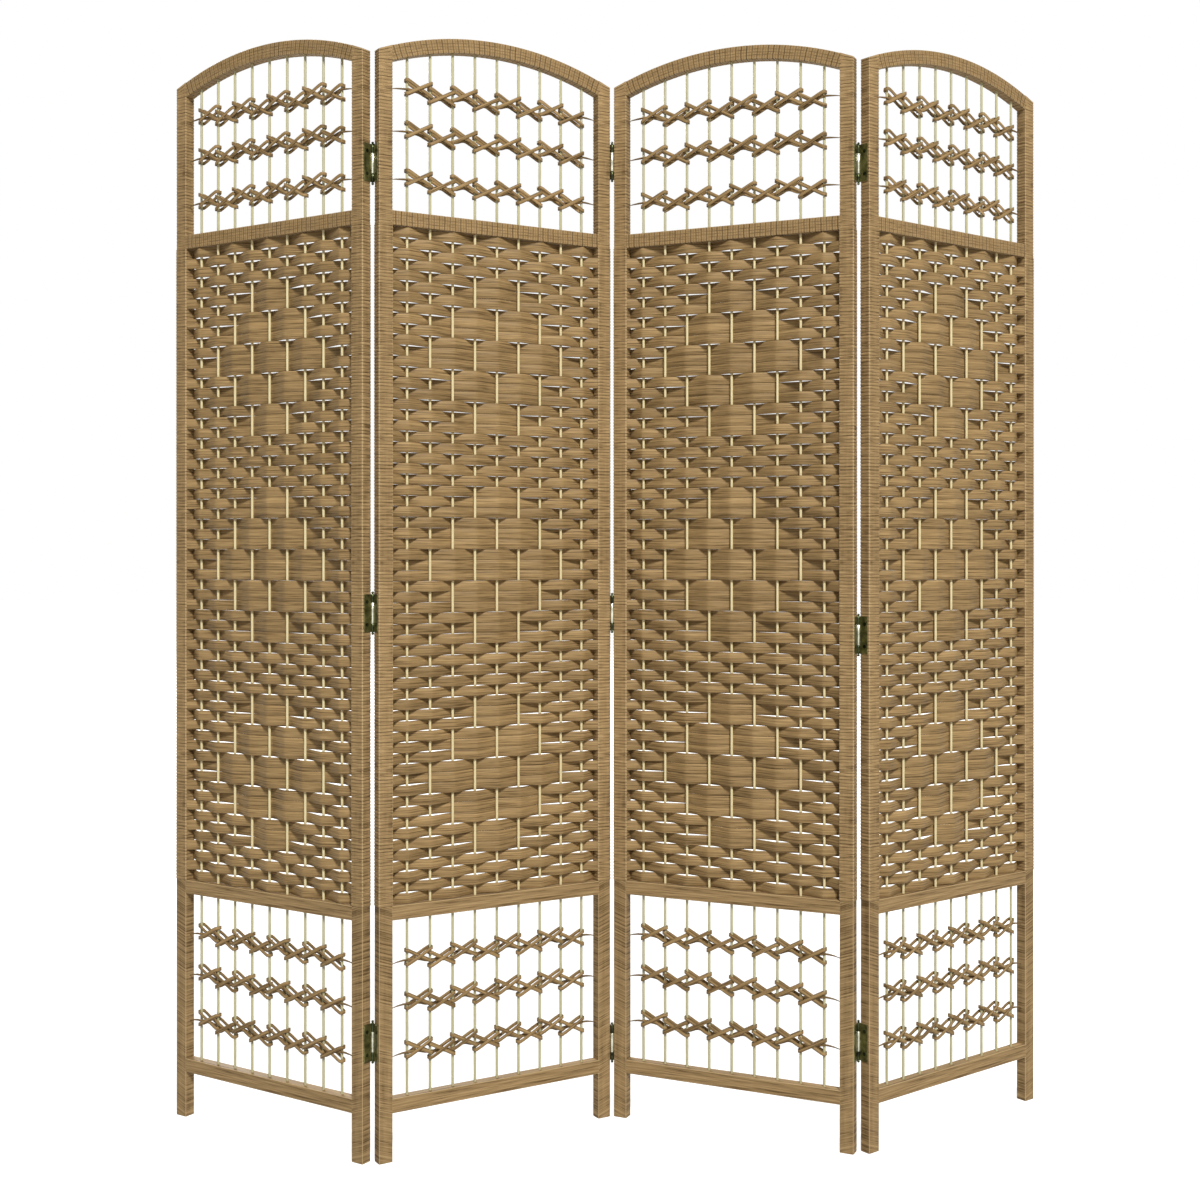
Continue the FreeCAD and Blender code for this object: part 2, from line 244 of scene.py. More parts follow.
class Panel:
    """Where a panel stands, and its own sizes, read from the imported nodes."""

    def __init__(self, name):
        self.name = name
        left = self.foot("left_stile")
        right = self.foot("right_stile")
        along = (middle(right) - middle(left)).normalized()
        back = Vector((-along.y, along.x, 0))
        reach = [corner.dot(along) for corner in left + right]
        depths = [corner.dot(back) for corner in left]
        self.width = max(reach) - min(reach)
        self.depth = max(depths) - min(depths)
        self.stile_width = max(corner.dot(along) for corner in left) - min(reach)
        self.place = Matrix.Identity(4)
        for row in range(3):
            self.place[row][0] = along[row]
            self.place[row][1] = back[row]
        self.place.translation = along * min(reach) + back * min(depths)
        self.bottom_rail = self.heights("bottom_rail")
        self.lower_rail = self.heights("lower_rail")
        self.upper_rail = self.heights("upper_rail")
        self.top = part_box(f"{name}_arch_rail")[1].z
        rise = self.top - self.stile_top("left_stile")
        self.arch_radius = (self.width ** 2 / 4 + rise ** 2) / (2 * rise)
        self.rail_height = self.upper_rail[1] - self.upper_rail[0]
        self.row_pitch = (self.upper_rail[0] - self.lower_rail[1]) / ROW_COUNT

    def foot(self, stile):
        """Corners of a stile on the floor."""
        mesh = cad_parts[f"{self.name}_{stile}"].data
        low_points = [vertex.co for vertex in mesh.vertices if vertex.co.z < MM]
        corners = {tuple(round(part, 5) for part in point) for point in low_points}
        return [Vector(corner) for corner in sorted(corners)]

    def heights(self, rail):
        """Bottom and top of a rail."""
        low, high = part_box(f"{self.name}_{rail}")
        return low.z, high.z

    def stile_top(self, stile):
        """Where the arch meets a stile's outer edge."""
        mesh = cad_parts[f"{self.name}_{stile}"].data
        return min(vertex.co.z for vertex in mesh.vertices if vertex.co.z > self.top / 2)

    def arch(self, s, drop=0):
        """Height of the arch's outer line, or of a line that much below it along the radius."""
        radius = self.arch_radius - drop
        return self.top - self.arch_radius + math.sqrt(radius ** 2 - (s - self.width / 2) ** 2)

    def rods(self):
        """The rods' places along the panel."""
        first = self.stile_width + ROD_MARGIN
        pitch = (self.width - 2 * first) / (ROD_COUNT - 1)
        return [first + index * pitch for index in range(ROD_COUNT)]


def middle(points):
    """Mean of some points."""
    return sum(points, Vector()) / len(points)


class Nodes:
    """Short way to add linked nodes to a tree."""

    def __init__(self, tree):
        self.tree = tree

    def add(self, kind, inputs=None, **settings):
        """A node with its settings, its sockets given values or linked to other sockets."""
        node = self.tree.nodes.new(kind)
        for setting, value in settings.items():
            setattr(node, setting, value)
        for socket, value in (inputs or {}).items():
            if isinstance(value, bpy.types.NodeSocket):
                self.tree.links.new(value, node.inputs[socket])
            else:
                node.inputs[socket].default_value = value
        return node

    def math(self, operation, first, second=0.0, third=0.0, clamped=False):
        """Result of one sum, kept between nothing and one where it is clamped."""
        sums = {0: first, 1: second, 2: third}
        return self.add("ShaderNodeMath", sums, operation=operation, use_clamp=clamped).outputs[0]

    def split(self, vector):
        """The X, Y and Z of a vector."""
        return self.add("ShaderNodeSeparateXYZ", {0: vector}).outputs

    def position(self):
        """Where each point of a geometry is."""
        return self.add("GeometryNodeInputPosition").outputs[0]

    def link(self, value, node, socket):
        """A value led to a node's socket."""
        self.tree.links.new(value, node.inputs[socket])


def new_tree(name, sizes):
    """A geometry tree with named inputs; gives its nodes, its inputs and its output node."""
    tree = bpy.data.node_groups.new(name, "GeometryNodeTree")
    tree.is_modifier = True
    tree.interface.new_socket("Path", in_out="INPUT", socket_type="NodeSocketGeometry")
    for size, kind in sizes.items():
        tree.interface.new_socket(size, in_out="INPUT", socket_type=f"NodeSocket{kind}")
    tree.interface.new_socket("Piece", in_out="OUTPUT", socket_type="NodeSocketGeometry")
    nodes = Nodes(tree)
    return nodes, nodes.add("NodeGroupInput").outputs, nodes.add("NodeGroupOutput")


def stored(nodes, geometry, name, value, kind="FLOAT", domain="POINT"):
    """Geometry with a value kept on it under a name, for its material."""
    return nodes.add(
        "GeometryNodeStoreNamedAttribute",
        {"Geometry": geometry, "Name": name, "Value": value},
        data_type=kind,
        domain=domain,
    ).outputs[0]


def marked_path(nodes, curve, seed):
    """A path that knows how far along each point is and has a tone of its own."""
    along = nodes.add("GeometryNodeSplineParameter").outputs["Length"]
    curve = stored(nodes, curve, "along", along)
    tone = nodes.add(
        "FunctionNodeRandomValue",
        {2: 0.0, 3: 1.0, "ID": nodes.add("GeometryNodeInputIndex").outputs[0], "Seed": seed},
        data_type="FLOAT",
    ).outputs[1]
    return stored(nodes, curve, "tone", tone, domain="CURVE")


def swept(nodes, curve, section, scale, material, smooth):
    """The mesh of a section carried along a path, with the section's own place kept on it."""
    section = stored(nodes, section, "across", nodes.position(), kind="FLOAT_VECTOR")
    mesh = nodes.add(
        "GeometryNodeCurveToMesh",
        {"Curve": curve, "Profile Curve": section, "Scale": scale, "Fill Caps": True},
    ).outputs[0]
    mesh = nodes.add("GeometryNodeSetShadeSmooth", {"Geometry": mesh, "Shade Smooth": smooth}).outputs[0]
    mesh = nodes.add("GeometryNodeRealizeInstances", {"Geometry": mesh}).outputs[0]
    return nodes.add("GeometryNodeSetMaterial", {"Geometry": mesh, "Material": material}).outputs[0]


def strip_section(nodes, width, thickness):
    """The section of a flat strip, its edges a little eased."""
    ring = nodes.add("GeometryNodeCurvePrimitiveCircle", {"Resolution": SECTION_POINTS, "Radius": 1.0})
    point = nodes.split(nodes.position())
    flattened = nodes.math("MULTIPLY", point["Y"], SECTION_FLATNESS)
    flattened = nodes.math("MAXIMUM", nodes.math("MINIMUM", flattened, 1.0), -1.0)
    spread = nodes.math("POWER", nodes.math("ABSOLUTE", point["X"]), SECTION_SPREAD)
    spread = nodes.math("MULTIPLY", nodes.math("SIGN", point["X"]), spread)
    place = nodes.add(
        "ShaderNodeCombineXYZ",
        {
            "X": nodes.math("MULTIPLY", flattened, nodes.math("MULTIPLY", thickness, 0.5)),
            "Y": nodes.math("MULTIPLY", spread, nodes.math("MULTIPLY", width, 0.5)),
        },
    ).outputs[0]
    return nodes.add("GeometryNodeSetPosition", {"Geometry": ring.outputs[0], "Position": place}).outputs[0]


def flat_strip_tree():
    """A flat strip along a smooth line through the path's points."""
    nodes, sizes, output = new_tree(
        "flat_strip",
        {"Width": "Float", "Thickness": "Float", "Steps": "Int", "Seed": "Int", "Material": "Material"},
    )
    curve = nodes.add("GeometryNodeMeshToCurve", {"Mesh": sizes["Path"]}).outputs[0]
    curve = nodes.add("GeometryNodeCurveSplineType", {"Curve": curve}, spline_type="CATMULL_ROM").outputs[0]
    curve = nodes.add(
        "GeometryNodeSetSplineResolution", {"Geometry": curve, "Resolution": sizes["Steps"]}
    ).outputs[0]
    curve = nodes.add("GeometryNodeResampleCurve", {"Curve": curve}, mode="EVALUATED").outputs[0]
    curve = nodes.add("GeometryNodeSetCurveNormal", {"Curve": curve}, mode="Z_UP").outputs[0]
    curve = marked_path(nodes, curve, sizes["Seed"])
    section = strip_section(nodes, sizes["Width"], sizes["Thickness"])
    nodes.link(swept(nodes, curve, section, 1.0, sizes["Material"], True), output, "Piece")
    return nodes.tree


def round_stick_tree():
    """A round stick along the path, as thick as the path says at each point."""
    nodes, sizes, output = new_tree("round_stick", {"Sides": "Int", "Seed": "Int", "Material": "Material"})
    curve = nodes.add("GeometryNodeMeshToCurve", {"Mesh": sizes["Path"]}).outputs[0]
    curve = marked_path(nodes, curve, sizes["Seed"])
    thick = nodes.add("GeometryNodeInputNamedAttribute", {"Name": "thick"}, data_type="FLOAT").outputs[0]
    ring = nodes.add("GeometryNodeCurvePrimitiveCircle", {"Resolution": sizes["Sides"], "Radius": 1.0})
    nodes.link(swept(nodes, curve, ring.outputs[0], thick, sizes["Material"], True), output, "Piece")
    return nodes.tree


def on_corner(nodes, sizes):
    """One where a point of a bar's section lies in the curve of a corner."""
    point = nodes.split(nodes.position())
    reach = nodes.math("MULTIPLY", sizes["Corner"], 0.9)
    curved = []
    for axis, size in (("X", "Width"), ("Y", "Depth")):
        half = nodes.math("MULTIPLY", sizes[size], 0.5)
        inward = nodes.math("SUBTRACT", half, nodes.math("ABSOLUTE", point[axis]))
        curved.append(nodes.math("LESS_THAN", inward, reach))
    return nodes.math("MULTIPLY", *curved)


def wound_bar_tree():
    """A square bar along the path, with a groove between one turn of its wrapping and the next."""
    nodes, sizes, output = new_tree(
        "wound_bar",
        {
            "Width": "Float",
            "Depth": "Float",
            "Corner": "Float",
            "Turn": "Float",
            "Groove": "Float",
            "Seed": "Int",
            "Material": "Material",
        },
    )
    curve = nodes.add("GeometryNodeMeshToCurve", {"Mesh": sizes["Path"]}).outputs[0]
    step = nodes.math("DIVIDE", sizes["Turn"], RINGS_PER_TURN)
    curve = nodes.add(
        "GeometryNodeResampleCurve", {"Curve": curve, "Length": step}, mode="LENGTH"
    ).outputs[0]
    curve = marked_path(nodes, curve, sizes["Seed"])
    ring = nodes.add("GeometryNodeSplineParameter").outputs["Index"]
    curve = stored(nodes, curve, "turns", nodes.math("DIVIDE", ring, RINGS_PER_TURN))
    bar_section = nodes.add(
        "GeometryNodeCurvePrimitiveQuadrilateral", {"Width": sizes["Width"], "Height": sizes["Depth"]}
    ).outputs[0]
    section = nodes.add(
        "GeometryNodeFilletCurve",
        {"Curve": bar_section, "Count": CORNER_POINTS, "Radius": sizes["Corner"], "Limit Radius": True},
        mode="POLY",
    ).outputs[0]
    # Marks the curve of the corners, where the finish paints a highlight
    section = stored(nodes, section, "corner", on_corner(nodes, sizes))
    in_groove = nodes.math("LESS_THAN", nodes.math("MODULO", ring, RINGS_PER_TURN), 0.5)
    scale = nodes.math("SUBTRACT", 1.0, nodes.math("MULTIPLY", in_groove, sizes["Groove"]))
    nodes.link(swept(nodes, curve, section, scale, sizes["Material"], False), output, "Piece")
    return nodes.tree


def slotted_screw_tree():
    """A slotted screw head on every point, its slot turned at random."""
    nodes, sizes, output = new_tree(
        "slotted_screw",
        {
            "Radius": "Float",
            "Height": "Float",
            "Slot": "Float",
            "Facing": "Rotation",
            "Seed": "Int",
            "Material": "Material",
        },
    )
    disc = nodes.add(
        "GeometryNodeMeshCylinder",
        {"Vertices": TURNED_SIDES, "Radius": sizes["Radius"], "Depth": sizes["Height"]},
    ).outputs[0]
    point = nodes.split(nodes.position())
    beside = nodes.add(
        "ShaderNodeCombineXYZ",
        {"X": nodes.math("MAXIMUM", point["X"], sizes["Slot"]), "Y": point["Y"], "Z": point["Z"]},
    ).outputs[0]
    half = nodes.add("GeometryNodeSetPosition", {"Geometry": disc, "Position": beside}).outputs[0]
    other = nodes.add("GeometryNodeTransform", {"Geometry": half, "Rotation": (0, 0, math.pi)}).outputs[0]
    floor = nodes.add("GeometryNodeTransform", {"Geometry": disc, "Scale": SLOT_FLOOR}).outputs[0]
    head = nodes.add("GeometryNodeJoinGeometry")
    for part in (half, other, floor):
        nodes.link(part, head, 0)
    turn = nodes.add(
        "FunctionNodeRandomValue", {2: 0.0, 3: math.pi, "Seed": sizes["Seed"]}, data_type="FLOAT"
    ).outputs[1]
    spin = nodes.add("ShaderNodeCombineXYZ", {"Z": turn}).outputs[0]
    facing = nodes.add(
        "FunctionNodeRotateRotation", {0: sizes["Facing"], 1: spin}, rotation_space="LOCAL"
    ).outputs[0]
    heads = nodes.add(
        "GeometryNodeInstanceOnPoints",
        {"Points": sizes["Path"], "Instance": head.outputs[0], "Rotation": facing},
    ).outputs[0]
    mesh = nodes.add("GeometryNodeRealizeInstances", {"Geometry": heads}).outputs[0]
    mesh = nodes.add(
        "GeometryNodeSetMaterial", {"Geometry": mesh, "Material": sizes["Material"]}
    ).outputs[0]
    nodes.link(mesh, output, "Piece")
    return nodes.tree


def path_mesh(lines, closed=False, thick=None):
    """Lines of points as edges, with a thickness at each point where one is given."""
    points, edges = [], []
    for line in lines:
        first = len(points)
        points += line
        edges += [(index, index + 1) for index in range(first, len(points) - 1)]
        if closed:
            edges.append((len(points) - 1, first))
    mesh = bpy.data.meshes.new("path")
    mesh.from_pydata(points, edges, [])
    if thick:
        mesh.attributes.new("thick", "FLOAT", "POINT").data.foreach_set("value", thick)
    return mesh


def grown(path, tree, **sizes):
    """The plain mesh that a tree makes of a path."""
    holder = bpy.data.objects.new("path", path)
    scene.collection.objects.link(holder)
    modifier = holder.modifiers.new("grown", "NODES")
    modifier.node_group = tree
    for socket in tree.interface.items_tree:
        if socket.name.lower() in sizes:
            modifier[socket.identifier] = sizes[socket.name.lower()]
    graph = bpy.context.evaluated_depsgraph_get()
    mesh = bpy.data.meshes.new_from_object(holder.evaluated_get(graph), depsgraph=graph)
    holder.modifiers.remove(modifier)
    bpy.data.objects.remove(holder)
    return mesh


def piece(name, mesh, panel, slot, *nodes):
    """A mesh drawn in a panel's frame, set at its place, riding on the panel and standing for nodes."""
    mesh.transform(panel.place)
    made = bpy.data.objects.new(name, mesh)
    mesh.name = name
    scene.collection.objects.link(made)
    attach(made, panel.name)
    if nodes:
        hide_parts(*nodes)


def new_finish(name):
    """A material with one main shader; gives it, its nodes and that shader."""
    material = bpy.data.materials.new(name)
    material.use_nodes = True
    return material, Nodes(material.node_tree), material.node_tree.nodes["Principled BSDF"]


def kept(nodes, name):
    """A value that the tree kept on the mesh."""
    return nodes.add("ShaderNodeAttribute", attribute_name=name).outputs


def kept_across(nodes):
    """The X, Y and Z of a point in its own section."""
    return nodes.split(kept(nodes, "across")["Vector"])


def lengthwise(nodes, along_scale, across_scale, slope=0.0):
    """Coordinates drawn out along the stock, different on each stick of it."""
    across = kept_across(nodes)
    along = nodes.math("MULTIPLY_ADD", across["X"], slope, kept(nodes, "along")["Fac"])
    tone = kept(nodes, "tone")["Fac"]
    shift_along = nodes.math("MULTIPLY", tone, TONE_APART_ALONG)
    shift_across = nodes.math("MULTIPLY", tone, TONE_APART_ACROSS)
    return nodes.add(
        "ShaderNodeCombineXYZ",
        {
            "X": nodes.math("MULTIPLY_ADD", along, along_scale, shift_along),
            "Y": nodes.math("MULTIPLY_ADD", across["Y"], across_scale, shift_across),
            "Z": nodes.math("MULTIPLY", across["X"], across_scale),
        },
    ).outputs[0]


def noise(nodes, vector, scale=1.0):
    """A noise value."""
    return nodes.add(
        "ShaderNodeTexNoise", {"Vector": vector, "Scale": scale, "Detail": 3.0, "Roughness": 0.6}
    ).outputs["Fac"]


def blended(nodes, first, second, share):
    """Two values added up, the first with a share and the second with the rest."""
    first = nodes.math("MULTIPLY", first, share)
    return nodes.math("ADD", first, nodes.math("MULTIPLY", second, 1 - share))


def ramp(nodes, value, stops):
    """Colours along a value."""
    node = nodes.add("ShaderNodeValToRGB", {"Fac": value})
    elements = node.color_ramp.elements
    while len(elements) < len(stops):
        elements.new(0.5)
    for element, (place, colour) in zip(elements, stops):
        element.position = place
        element.color = (*colour, 1)
    return node.outputs["Color"]


def mixed(nodes, share, first, second, blend="MIX"):
    """Two colours mixed."""
    return nodes.add(
        "ShaderNodeMix", {0: share, 6: first, 7: second}, data_type="RGBA", blend_type=blend
    ).outputs[2]


def bump(nodes, shader, height, distance, strength=0.6):
    """A surface raised by a value."""
    node = nodes.add("ShaderNodeBump", {"Height": height, "Distance": distance, "Strength": strength})
    nodes.link(node.outputs[0], shader, "Normal")


def shaded(nodes, colour, value):
    """A colour made lighter or darker by a value."""
    grey = nodes.add("ShaderNodeCombineColor", {0: value, 1: value, 2: value}).outputs[0]
    return mixed(nodes, 1.0, colour, grey, "MULTIPLY")


def near(nodes, value, reach):
    """One where a value is nothing, falling to nothing at its reach."""
    return nodes.add(
        "ShaderNodeMapRange",
        {"Value": value, "From Min": 0.0, "From Max": reach, "To Min": 1.0, "To Max": 0.0},
        interpolation_type="SMOOTHSTEP",
    ).outputs[0]


def grain_colours(nodes, value, tint):
    """Browns of one stain, from its dark lines to its pale ones."""
    stops = []
    for place, shares in GRAIN_STOPS:
        stops.append((place, [part * share for part, share in zip(tint, shares)]))
    return ramp(nodes, value, stops)


def cane_strip_finish(name, width, shade_reach):
    """Split cane: tan with fine brown lines along it, and painted shade darkening it towards its edges."""
    material, nodes, shader = new_finish(name)
    lines = noise(nodes, lengthwise(nodes, *CANE_LINES))
    value = blended(nodes, lines, noise(nodes, lengthwise(nodes, *CANE_FINE_LINES)), CANE_LINE_SHARE)
    colour = grain_colours(nodes, value, CANE_TINT)
    colour = shaded(nodes, colour, nodes.math("MULTIPLY_ADD", kept(nodes, "tone")["Fac"], *CANE_TONE))
    # Painted shade: a dark band along each edge of a strip, for the shade in the seams between rows and
    # along a band's edges
    inward = nodes.math("SUBTRACT", width / 2, nodes.math("ABSOLUTE", kept_across(nodes)["Y"]))
    edge_shade = nodes.math("MULTIPLY", near(nodes, inward, shade_reach), EDGE_SHADE_SHARE)
    nodes.link(mixed(nodes, edge_shade, colour, (*PAINTED_EDGE_SHADE, 1)), shader, "Base Color")
    nodes.link(nodes.math("MULTIPLY_ADD", lines, *CANE_ROUGHNESS), shader, "Roughness")
    shader.inputs["Specular IOR Level"].default_value = CANE_SHINE
    bump(nodes, shader, value, GRAIN_HEIGHT)
    return material


def seam_lines(nodes, reach, between, faintest):
    """Where one turn of a wrapping meets the next, bolder at some turns, with a fainter line between."""
    wander = nodes.math("MULTIPLY_ADD", noise(nodes, lengthwise(nodes, *SEAM_GRAIN)), *SEAM_WANDER)
    place = nodes.math("ADD", kept(nodes, "turns")["Fac"], wander)
    turn = nodes.math("FLOOR", nodes.math("ADD", place, 0.5))
    turn = nodes.math("MULTIPLY_ADD", kept(nodes, "tone")["Fac"], WRAPPINGS_APART, turn)
    boldness = nodes.add("ShaderNodeTexWhiteNoise", {"W": turn}, noise_dimensions="1D").outputs["Value"]
    boldness = nodes.math("MULTIPLY_ADD", boldness, 1 - faintest, faintest)
    off = nodes.math("PINGPONG", place, 0.5)
    seam = nodes.math("MULTIPLY", near(nodes, off, reach), boldness)
    faint = nodes.math("MULTIPLY", near(nodes, nodes.math("SUBTRACT", 0.5, off), reach), between)
    return nodes.math("MAXIMUM", seam, faint)


def crease_lines(nodes):
    """Creases along a wrapped rail, broken here and there."""
    sway = nodes.math("MULTIPLY_ADD", noise(nodes, lengthwise(nodes, *SWAY_GRAIN)), *CREASE_SWAY)
    across = nodes.math("ADD", kept_across(nodes)["Y"], sway)
    creases = 0.0
    for place in RAIL_CREASES:
        off = nodes.math("ABSOLUTE", nodes.math("SUBTRACT", across, place))
        creases = nodes.math("MAXIMUM", near(nodes, off, CREASE_REACH), creases)
    boldness = nodes.math("MULTIPLY_ADD", noise(nodes, lengthwise(nodes, *BREAK_GRAIN)), *CREASE_BOLDNESS)
    return nodes.math("MULTIPLY", creases, boldness, clamped=True)


def wood_finish(name, grain, stain=1.0, contrast=1.0, slope=0.0, seams=None, creased=False):
    """Stained wood with its grain one way or the other, with a painted highlight along its corners, with a
    wrapping's seams.
    """
    material, nodes, shader = new_finish(name)
    lines = noise(nodes, lengthwise(nodes, *grain, slope))
    broad = noise(nodes, lengthwise(nodes, *BROAD_GRAIN))
    value = blended(nodes, lines, broad, WOOD_LINE_SHARE)
    value = nodes.math("MULTIPLY_ADD", value, contrast, 0.5 - 0.5 * contrast)
    colour = grain_colours(nodes, value, tuple(stain * part for part in WOOD_TINT))
    # Painted highlight: the curve of each corner lightened towards a pale tan
    corner = nodes.math("MULTIPLY", kept(nodes, "corner")["Fac"], CORNER_HIGHLIGHT_SHARE)
    colour = mixed(nodes, corner, colour, (*PAINTED_CORNER_HIGHLIGHT, 1))
    height = value
    if seams:
        line = seam_lines(nodes, **seams)
        if creased:
            line = nodes.math("MAXIMUM", line, crease_lines(nodes))
        colour = mixed(nodes, line, colour, (*SEAM_BROWN, 1))
        height = nodes.math("SUBTRACT", value, line)
    nodes.link(colour, shader, "Base Color")
    nodes.link(nodes.math("MULTIPLY_ADD", broad, *WOOD_ROUGHNESS), shader, "Roughness")
    shader.inputs["Specular IOR Level"].default_value = WOOD_SHINE
    bump(nodes, shader, height, GRAIN_HEIGHT)
    return material


def rod_finish(panel):
    """Peeled rod: cream within the weave, with painted shade in the openings above and below it, where it
    is drawn greener and darker.
    """
    material, nodes, shader = new_finish("pale_rod")
    value = noise(nodes, lengthwise(nodes, *ROD_LINES))
    start = panel.bottom_rail[1]
    weave_low, weave_high = panel.lower_rail[0] - start, panel.upper_rail[1] - start
    along = kept(nodes, "along")["Fac"]
    off = nodes.math("ABSOLUTE", nodes.math("SUBTRACT", along, (weave_low + weave_high) / 2))
    inside = nodes.math("LESS_THAN", off, (weave_high - weave_low) / 2)
    # Painted shade: the same rod is given a darker, greener colour wherever it stands in an opening
    colour = mixed(nodes, inside, ramp(nodes, value, ROD_OPENING_SHADE), ramp(nodes, value, ROD_CREAM))
    nodes.link(colour, shader, "Base Color")
    nodes.link(nodes.math("MULTIPLY_ADD", value, *ROD_ROUGHNESS), shader, "Roughness")
    shader.inputs["Specular IOR Level"].default_value = ROD_SHINE
    bump(nodes, shader, value, ROD_GRAIN_HEIGHT)
    return material


def hinge_finish(name, dark, light, roughness):
    """Brass in slow patches from dark to light, with a fine uneven skin."""
    material, nodes, shader = new_finish(name)
    place = nodes.add("ShaderNodeTexCoord").outputs["Object"]
    value = noise(nodes, place, BRASS_PATCHES)
    nodes.link(ramp(nodes, value, ((0.35, dark), (0.65, light))), shader, "Base Color")
    shader.inputs["Metallic"].default_value = BRASS_METAL
    nodes.link(nodes.math("MULTIPLY_ADD", value, 0.2, roughness - 0.1), shader, "Roughness")
    bump(nodes, shader, noise(nodes, place, BRASS_PITS), BRASS_PIT_DEPTH, BRASS_PIT_STRENGTH)
    return material


def stile_run(panel, s, low, high, wrap=0, **looks):
    """A length of stile between two heights, thicker by a wrap all round where it has one."""
    depth = panel.depth / 2
    return grown(
        path_mesh([[(s, depth, low), (s, depth, high)]]),
        WOUND_BAR,
        width=panel.stile_width + 2 * wrap,
        depth=panel.depth + 2 * wrap,
        corner=CORNER_RADIUS + wrap,
        **looks,
    )


def stiles(panel):
    """Both stiles: bare legs, a thicker wrapping beside the weave, and heads cut along the arch."""
    wound = {"turn": STILE_TURN, "groove": STILE_GROOVE, "seed": STILE_SEED, "material": WRAPPED_STILE}
    bare = {"turn": BARE_TURN * panel.rail_height, "groove": 0.0, "seed": LEG_SEED}
    weave_low, weave_high = panel.lower_rail[1], panel.upper_rail[0]
    middles = (panel.stile_width / 2, panel.width - panel.stile_width / 2)
    for side, s in zip(("left", "right"), middles):
        top = panel.arch(s)
        head = stile_run(panel, s, weave_high, top, **wound)
        shoulder = top - panel.rail_height
        for vertex in head.vertices:
            share = (vertex.co.z - shoulder) / panel.rail_height
            if share > 0:
                vertex.co.z += share * (panel.arch(vertex.co.x) - top)
        piece(f"{panel.name}_{side}_stile_head", head, panel, "frame_wood")
        wrapped = stile_run(panel, s, weave_low, weave_high, STILE_WRAP, **wound)
        node = f"{panel.name}_{side}_stile"
        piece(f"{panel.name}_wrapped_{side}_stile", wrapped, panel, "frame_wood", node)
        leg = stile_run(panel, s, 0, weave_low, material=LEG_WOOD[side], **bare)
        piece(f"{panel.name}_{side}_leg", leg, panel, "frame_wood")


def bar(panel, name, line, finish, turn, groove):
    """One rail along a line."""
    mesh = grown(
        path_mesh([line]),
        WOUND_BAR,
        width=panel.depth - 2 * RAIL_SETBACK,
        depth=panel.rail_height - 2 * RAIL_SETBACK,
        corner=CORNER_RADIUS,
        turn=turn,
        groove=groove,
        seed=RAIL_SEED,
        material=finish,
    )
    piece(f"{panel.name}_dressed_{name}", mesh, panel, "frame_wood", f"{panel.name}_{name}")


def rails(panel):
    """The straight rails and the arched one, their ends let into the stiles."""
    ends = (panel.stile_width - TENON, panel.width - panel.stile_width + TENON)
    bare = (RAIL_WOOD, BARE_TURN * panel.rail_height, 0.0)
    wound = (WRAPPED_RAIL, RAIL_TURN, RAIL_GROOVE)
    for name, looks in (("bottom_rail", bare), ("lower_rail", bare), ("upper_rail", wound)):
        low, high = panel.heights(name)
        bar(panel, name, [(s, panel.depth / 2, (low + high) / 2) for s in ends], *looks)
    radius = panel.arch_radius - panel.rail_height / 2
    reach = math.asin((panel.width / 2 - ends[0]) / radius)
    line = []
    for step in range(ARCH_STEPS + 1):
        angle = reach * (2 * step / ARCH_STEPS - 1)
        s = panel.width / 2 + radius * math.sin(angle)
        line.append((s, panel.depth / 2, panel.top - panel.arch_radius + radius * math.cos(angle)))
    bar(panel, "arch_rail", line, *wound)


def rods(panel):
    """Nine rods from the bottom rail through the other two to the arch."""
    depth = panel.depth / 2
    low = panel.bottom_rail[1] - ROD_LET_IN
    lines = []
    for s in panel.rods():
        high = panel.arch(s, panel.rail_height) + ROD_LET_IN
        lines.append([(s, depth, low), (s, depth, high)])
    path = path_mesh(lines, thick=[ROD_RADIUS] * (2 * len(lines)))
    mesh = grown(path, ROUND_STICK, sides=ROD_SIDES, seed=ROD_SEED, material=PALE_ROD)
    piece(f"{panel.name}_round_rods", mesh, panel, "rods", f"{panel.name}_rods")


def passes_behind(row, rod):
    """Whether a row, counted from the top, passes behind a rod."""
    for first in DIAMOND_FIRST_ROWS:
        if row - first in DIAMOND_ROWS:
            return rod in DIAMOND_ROWS[row - first]
    return (row + rod) % 2 == 1


def taut(bends):
    """A line straight from bend to bend, with each bend a little eased."""
    line = [bends[0]]
    for before, bend, after in zip(bends, bends[1:], bends[2:]):
        for neighbour in (before, after):
            line.append(tuple(a + BEND_SHARE * (b - a) for a, b in zip(bend, neighbour)))
    line.append(bends[-1])
    return line


def strips(panel):
    """The woven field: strips in rows, each in front of some rods and behind the others."""
    half = panel.depth / 2
    lines = []
    for row in range(1, ROW_COUNT + 1):
        z = panel.upper_rail[0] - (row - 0.5) * panel.row_pitch
        end = half + (STRIP_END_SWING if row % 2 else -STRIP_END_SWING)
        bends = [(panel.stile_width, end, z)]
        for rod, s in enumerate(panel.rods(), start=1):
            side = 1 if passes_behind(row, rod) else -1
            bends.append((s, half + side * STRIP_SWING, z))
        bends.append((panel.width - panel.stile_width, end, z))
        lines.append(taut(bends))
    mesh = grown(
        path_mesh(lines),
        FLAT_STRIP,
        width=panel.row_pitch,
        thickness=STRIP_THICKNESS,
        steps=STRIP_STEPS,
        seed=STRIP_SEED,
        material=CANE_STRIP,
    )
    piece(f"{panel.name}_cane_strips", mesh, panel, "woven_strips", f"{panel.name}_weave")


def lashing_loop(panel, left, right, z, rise, bow):
    """A slack closed loop round two rods, climbing from the left one to the right one."""
    half = panel.depth / 2
    front = []
    for share in LOOP_SHARES:
        depth = half - LASHING_SWING - (bow if share else 0)
        front.append((left + share * (right - left), depth, z + rise * (2 * share - 1)))
    for angle in HOOK_ANGLES:
        turn = math.radians(angle)
        s = right + LASHING_REACH * math.cos(turn)
        front.append((s, half + LASHING_SWING * math.sin(turn), z + rise))
    centre = ((left + right) / 2, half, z)
    return front + [tuple(2 * c - p for c, p in zip(centre, point)) for point in front]


